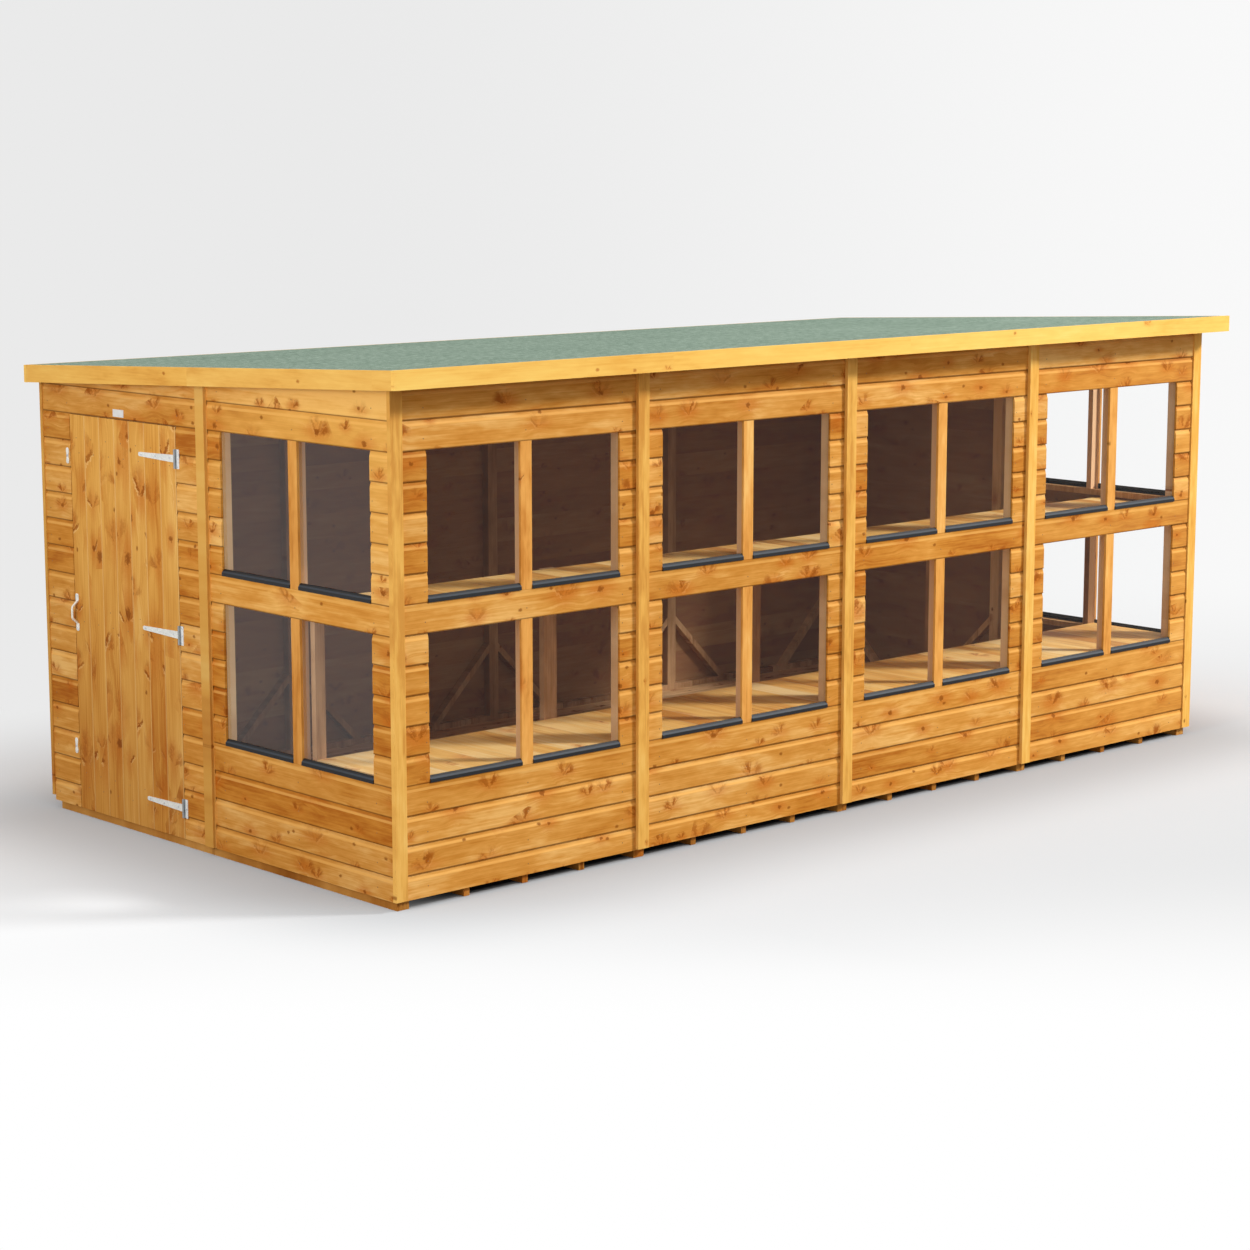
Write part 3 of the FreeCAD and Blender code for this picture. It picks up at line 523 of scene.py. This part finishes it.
def take(*pieces):
    """Out of edit mode with these pieces chosen, the first of them active."""
    if bpy.context.object and bpy.context.object.mode != "OBJECT":
        bpy.ops.object.mode_set(mode="OBJECT")
    bpy.ops.object.select_all(action="DESELECT")
    for piece in pieces:
        piece.select_set(True)
    if pieces:
        bpy.context.view_layer.objects.active = pieces[0]


def choose(piece, test, kind="FACE"):
    """Into edit mode with the faces or edges chosen that pass a test of centre and direction."""
    bpy.ops.object.mode_set(mode="EDIT")
    bpy.ops.mesh.select_mode(type=kind)
    bpy.ops.mesh.select_all(action="DESELECT")
    bpy.ops.object.mode_set(mode="OBJECT")
    if kind == "FACE":
        for face in piece.data.polygons:
            face.select = bool(test(face.center, face.normal))
    else:
        for edge in piece.data.edges:
            a, b = (piece.data.vertices[i].co for i in edge.vertices)
            edge.select = bool(test((a + b) / 2, (b - a).normalized()))
    bpy.ops.object.mode_set(mode="EDIT")


def settle(piece, name, finish, body):
    """Place into the mesh, name, finish, and the body that the piece rides."""
    take(piece)
    bpy.ops.object.transform_apply(location=True, rotation=True, scale=True)
    bpy.ops.object.shade_smooth_by_angle(angle=math.radians(35))
    piece.name = piece.data.name = name
    piece.data.materials.clear()
    piece.data.materials.append(finish)
    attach(piece, body)
    return piece


def set_out(first, places):
    """Copies of one modelled piece at each place, joined into one."""
    copies = []
    for place in places:
        take(first)
        bpy.ops.object.duplicate(linked=False)
        copy = bpy.context.object
        copy.location = place
        copies.append(copy)
    bpy.data.objects.remove(first)
    take(*copies)
    bpy.ops.object.join()
    return bpy.context.object


def cut_away(piece, cutter):
    """The cutter's shape taken out of the piece."""
    take(piece)
    away = piece.modifiers.new("slot", "BOOLEAN")
    away.operation, away.object, away.solver = "DIFFERENCE", cutter, "EXACT"
    bpy.ops.object.modifier_apply(modifier=away.name)
    bpy.data.objects.remove(cutter)


def cross_screw(radius):
    """Raised head with a cross slot, looking to the left, its underside at the origin."""
    take()
    bpy.ops.mesh.primitive_cylinder_add(vertices=20, radius=radius, depth=0.001, location=(-0.0002, 0.0, 0.0),
                                        rotation=(0.0, math.pi / 2, 0.0))
    head = bpy.context.object
    bpy.ops.object.transform_apply(location=True, rotation=True)
    choose(head, lambda middle, normal: normal.x < -0.9)
    for inset, rise in ((0.22, 0.0006), (0.3, 0.0004)):
        bpy.ops.mesh.inset(thickness=radius * inset)
        bpy.ops.transform.translate(value=(-rise, 0.0, 0.0))
    take()
    for wide, high in ((1.2, 0.26), (0.26, 1.2)):
        bpy.ops.mesh.primitive_cube_add(size=1.0, location=(-0.0018, 0.0, 0.0),
                                        scale=(0.0016, radius * wide, radius * high))
        blade = bpy.context.object
        bpy.ops.object.transform_apply(location=True, scale=True)
        cut_away(head, blade)
    return head


WALL_X = -END_FACE
HINGES = (0.164, 0.880, 1.596)
HINGE_FACE = WALL_X - 0.0025


def hinge_screws():
    """Three screws through each strap and three through each wall plate."""
    strap = [(HINGE_FACE, y, z) for z in HINGES for y in (0.285, 0.385, 0.488)]
    settle(set_out(cross_screw(0.0042), strap), "strap_screws", screw_steel, "door")
    holes = ((0.2265, -0.031), (0.2265, 0.031), (0.2245, 0.0))
    plate = [(HINGE_FACE, y, z + rise) for z in HINGES for y, rise in holes]
    settle(set_out(cross_screw(0.0038), plate), "plate_screws", screw_steel, "shed")


HANDLE_Y, HANDLE_Z = 1.007, 0.885
BAR_RADIUS = 0.005
FOOT = (0.003, 0.022, 0.034)    # thickness, width and height of a foot plate
FOOT_AT = 0.063                 # rise from the middle of the handle to the middle of a foot
FOOT_SCREW = (0.0072, 0.0715)   # a screw's place from the middle of the handle


def pull_handle():
    """Bow of round bar drawn out of the upper foot, bent out, down and back to the lower foot."""
    take()
    low, out = 0.003, 0.027
    lean = math.radians(48)
    tight, wide = 0.010, 0.016
    slope = (out - low - (tight + wide) * (1 - math.cos(lean))) / math.sin(lean)
    end, bend = 0.064, 0.050
    fall = (tight + wide) * math.sin(lean) + slope * math.cos(lean)
    bpy.ops.mesh.primitive_circle_add(vertices=16, radius=BAR_RADIUS,
                                      location=(WALL_X - low, HANDLE_Y, HANDLE_Z + end))
    bow = bpy.context.object
    bpy.ops.object.transform_apply(location=True)
    bpy.ops.object.mode_set(mode="EDIT")
    bpy.ops.mesh.select_all(action="SELECT")

    def run(x, z):
        bpy.ops.mesh.extrude_region_move(TRANSFORM_OT_translate={"value": (x, 0.0, z)})

    def turn(x, z, angle):
        bpy.ops.mesh.spin(steps=6, angle=-angle, center=(WALL_X - x, HANDLE_Y, HANDLE_Z + z), axis=(0.0, 1.0, 0.0))

    run(0.0, bend - end)
    turn(low + tight, bend, lean)
    run(-slope * math.sin(lean), -slope * math.cos(lean))
    turn(out - wide, bend - fall, -lean)
    run(0.0, -2 * (bend - fall))
    turn(out - wide, fall - bend, -lean)
    run(slope * math.sin(lean), -slope * math.cos(lean))
    turn(low + tight, -bend, lean)
    run(0.0, bend - end)
    bpy.ops.mesh.select_all(action="SELECT")
    bpy.ops.mesh.remove_doubles(threshold=0.00005)
    bpy.ops.mesh.fill_holes(sides=0)
    bpy.ops.mesh.select_all(action="SELECT")
    bpy.ops.mesh.normals_make_consistent(inside=False)
    take()
    bpy.ops.mesh.primitive_cube_add(size=1.0, location=(WALL_X - FOOT[0] / 2, HANDLE_Y, 0.0), scale=FOOT)
    foot = bpy.context.object
    bpy.ops.object.transform_apply(location=True, scale=True)
    choose(foot, lambda middle, way: abs(way.x) > 0.9, "EDGE")
    bpy.ops.mesh.bevel(offset=0.008, segments=5, affect="EDGES")
    choose(foot, lambda middle, normal: normal.x < -0.9)
    bpy.ops.mesh.bevel(offset=0.0009, segments=2, affect="EDGES")
    take()
    feet = set_out(foot, [(0.0, 0.0, HANDLE_Z + FOOT_AT), (0.0, 0.0, HANDLE_Z - FOOT_AT)])
    take(bow, feet)
    bpy.ops.object.join()
    settle(bow, "pull_handle", bright_steel, "door")
    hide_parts("door_handle")
    across, rise = FOOT_SCREW
    screws = [(WALL_X - 0.0028, HANDLE_Y + y, HANDLE_Z + z) for y in (-across, across) for z in (rise, -rise)]
    settle(set_out(cross_screw(0.0028), screws), "handle_screws", screw_steel, "door")


BUTTON_X, BUTTON_Y = -2.4545, 1.045
BUTTONS = {"upper_button": 1.548, "lower_button": 0.304}
BUTTON = (0.003, 0.020, 0.068)  # thickness, width and height of the plate
WAIST = 0.7                     # width of the waist to that of the ends


def turn_button(body, height):
    """Waisted plate with round ends and a soft front edge, upright beside the door."""
    take()
    bpy.ops.mesh.primitive_cube_add(size=1.0, location=(BUTTON_X, BUTTON_Y, height), scale=BUTTON)
    plate = bpy.context.object
    bpy.ops.object.transform_apply(location=True, scale=True)
    choose(plate, lambda middle, way: abs(way.x) > 0.9, "EDGE")
    bpy.ops.mesh.bevel(offset=0.0096, segments=6, affect="EDGES")
    for rise in (-0.016, -0.006, 0.006, 0.016):
        bpy.ops.mesh.select_all(action="SELECT")
        bpy.ops.mesh.bisect(plane_co=(0.0, 0.0, height + rise), plane_no=(0.0, 0.0, 1.0))
    choose(plate, lambda middle, way: abs(middle.z - height) < 0.0065, "EDGE")
    bpy.ops.transform.resize(value=(1.0, WAIST, 1.0), center_override=(BUTTON_X, BUTTON_Y, height))
    choose(plate, lambda middle, normal: normal.x < -0.9)
    bpy.ops.mesh.bevel(offset=0.0008, segments=2, affect="EDGES")
    settle(plate, body.replace("button", "turn_plate"), bright_steel, body)
    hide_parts("turn_button_" + body.split("_")[0])


def button_pivots():
    """Screw heads on which the buttons turn."""
    heads = set_out(cross_screw(0.0055), [(BUTTON_X - 0.0021, BUTTON_Y, height) for height in BUTTONS.values()])
    settle(heads, "pivot_screws", screw_steel, "shed")
    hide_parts("button_screws")


COURSES = 17
NAIL_RADIUS = 0.0025
NAIL_RISE = 0.042               # height of a nail over the underside of its board


def course(i):
    """Height of the underside of a cladding course."""
    return CLAD_LOW if i == 0 else FIRST + COURSE * (i - 1)


def nail_head(way):
    """Domed head of a cladding nail, looking along way, its underside at the origin."""
    take()
    turn = Vector((0.0, 0.0, 1.0)).rotation_difference(Vector(way)).to_euler()
    bpy.ops.mesh.primitive_cylinder_add(vertices=10, radius=NAIL_RADIUS, depth=0.0008, rotation=turn)
    head = bpy.context.object
    bpy.ops.object.transform_apply(rotation=True)
    choose(head, lambda middle, normal: normal.dot(Vector(way)) > 0.9)
    bpy.ops.mesh.inset(thickness=0.001)
    bpy.ops.transform.translate(value=tuple(v * 0.0004 for v in way))
    take()
    return head


def cladding_nails():
    """One nail through each board at every upright behind it."""
    rows = [course(i) + NAIL_RISE for i in range(COURSES)]
    lower = rows[:-1]
    sill, middle, head = rows[:4], [rows[9]], rows[15:]
    beside = rows[4:9] + rows[10:15]

    def window(first, mullion, last):
        return [(u, z) for u in (first, mullion, last) for z in sill + middle + head] + [
            (u, z) for u in (first, last) for z in beside]

    front = [(u + PANEL * k, z) for k in range(4) for u, z in window(-2.298, -1.8, -1.302)]
    end = window(-1.033, -0.5415, -0.05)
    free = [z for z in sill + beside + middle if min(abs(z - hinge) for hinge in HINGES) > 0.06]
    door = [(0.2285, z) for z in free] + [(u, z) for u in (0.2285, 0.64, 1.042) for z in rows[15:16]]
    door += [(1.195, z) for z in lower]
    plain = [(u, z) for u in (0.6395, 1.195) for z in lower]
    back = [(PANEL_START + PANEL * (k + 0.5), z) for k in range(4) for z in lower]
    walls = {"front_nails": ((0.0, -1.0, 0.0), [(u, -FRONT_FACE, z) for u, z in front]),
             "left_nails": ((-1.0, 0.0, 0.0), [(WALL_X, u, z) for u, z in end + door]),
             "right_nails": ((1.0, 0.0, 0.0), [(-WALL_X, u, z) for u, z in end + plain]),
             "back_nails": ((0.0, 1.0, 0.0), [(u, BACK_FACE, z) for u, z in back])}
    for name, (way, places) in walls.items():
        settle(set_out(nail_head(way), places), name, nail_steel, "shed")


def door_nails():
    """Two rows of nails through the boards into each ledge."""
    rows = [(z + rise, shift) for z in HINGES for rise, shift in ((0.031, 0.008), (-0.031, -0.011))]
    heads = [(WALL_X, LEAF_EDGE + LEAF_BOARD * (k + 0.5) + shift, z) for k in range(LEAF_BOARDS) for z, shift in rows]
    settle(set_out(nail_head((-1.0, 0.0, 0.0)), heads), "door_nails", nail_steel, "door")


hinge_screws()
pull_handle()
for body, height in BUTTONS.items():
    turn_button(body, height)
button_pivots()
cladding_nails()
door_nails()

PALE = srgb(234, 234, 234)
WHITE = srgb(249, 249, 249)
AHEAD, ASIDE = 0.68, 0.73       # the way the camera looks, along x and y
HALF_X, HALF_Y = 2.4, 1.1       # about half the ground that the shed covers


def stage_floor():
    """Floor with shade painted under and round the shed, pale beyond it and white towards the camera."""
    bpy.ops.object.select_all(action="DESELECT")
    bpy.ops.mesh.primitive_plane_add(size=160.0, location=(0.0, 0.0, -0.0005))
    floor = bpy.context.object
    floor.name = "studio_floor"
    f = Finish("studio_floor")
    x, y, z = f.place()
    out_x = (abs(x) - HALF_X).above(0.0)
    out_y = (abs(y) - HALF_Y).above(0.0)
    away = (out_x * out_x + out_y * out_y).root()
    deep = x * AHEAD + y * ASIDE
    right = (x * ASIDE - y * AHEAD) / (deep + 13.0).above(1.0)
    under = x.ease(-2.44, -2.36) * (x < 2.43) * y.ease(-1.14, -1.07) * (y < 1.2)
    ground = f.blend(away.ease(0.0, 0.9), srgb(188, 190, 192), srgb(220, 221, 222))
    ground = f.blend(under, ground, srgb(36, 38, 42))
    ground = f.blend(f.in_sight(), srgb(146, 144, 140), ground)
    plain = f.surface({"Color": ground, "Roughness": 1.0}, "ShaderNodeBsdfDiffuse")
    behind = f.blend(right.ease(-0.12, 0.24), PALE, WHITE)
    colour = f.blend(deep.ease(0.5, 6.0), PALE, behind)
    colour = f.blend(deep.ease(-1.5, -3.9), colour, srgb(255, 255, 255))
    glow = f.surface({"Color": colour, "Strength": 1.0}, "ShaderNodeEmission")
    share = away.ease(0.25, 2.2).above(deep.ease(-2.15, -3.4))
    f.finish(f.node("ShaderNodeMixShader", {}, {0: share * f.in_sight(), 1: plain, 2: glow}))
    floor.data.materials.append(f.material)


def lamp(name, place, aim, size, power):
    """Round area lamp that looks from a place to an aim."""
    bpy.ops.object.light_add(type="AREA", location=place)
    light = bpy.context.object
    light.name = name
    light.data.shape = "DISK"
    light.data.size = size
    light.data.energy = power
    light.rotation_euler = (Vector(aim) - Vector(place)).to_track_quat("-Z", "Y").to_euler()


def sky(level):
    """Even light all round, seen as a pale backdrop that whitens to the camera's right."""
    bpy.context.scene.world = bpy.data.worlds.new("studio")
    f = Finish("studio", bpy.context.scene.world)
    x, y, z = f.place("Generated")
    right = (x * ASIDE - y * AHEAD) / (x * AHEAD + y * ASIDE).above(0.1)
    lit = f.surface({"Color": (1.0, 1.0, 1.0, 1.0), "Strength": level}, "ShaderNodeBackground")
    wall = f.blend(right.ease(-0.12, 0.24), PALE, WHITE)
    seen = f.surface({"Color": wall, "Strength": 1.0}, "ShaderNodeBackground")
    f.finish(f.node("ShaderNodeMixShader", {}, {0: f.in_sight(), 1: lit, 2: seen}), "ShaderNodeOutputWorld")


stage_floor()
sky(0.69)
lamp("key", (12.4, -12.1, 12.1), (0.3, -0.8, 0.9), 3.6, 3900.0)
lamp("left_fill", (-7.6, -1.2, 2.5), (-2.45, 0.1, 1.5), 2.4, 135.0)

bpy.ops.object.camera_add(location=(-8.90115, -9.37794, 2.82366),
                          rotation=(math.pi / 2 - 0.164630, 0.0, -0.746306))
camera = bpy.context.object
camera.data.lens = 82.73
camera.data.sensor_width = 36.0
bpy.context.scene.camera = camera
bpy.context.scene.view_settings.view_transform = "Standard"
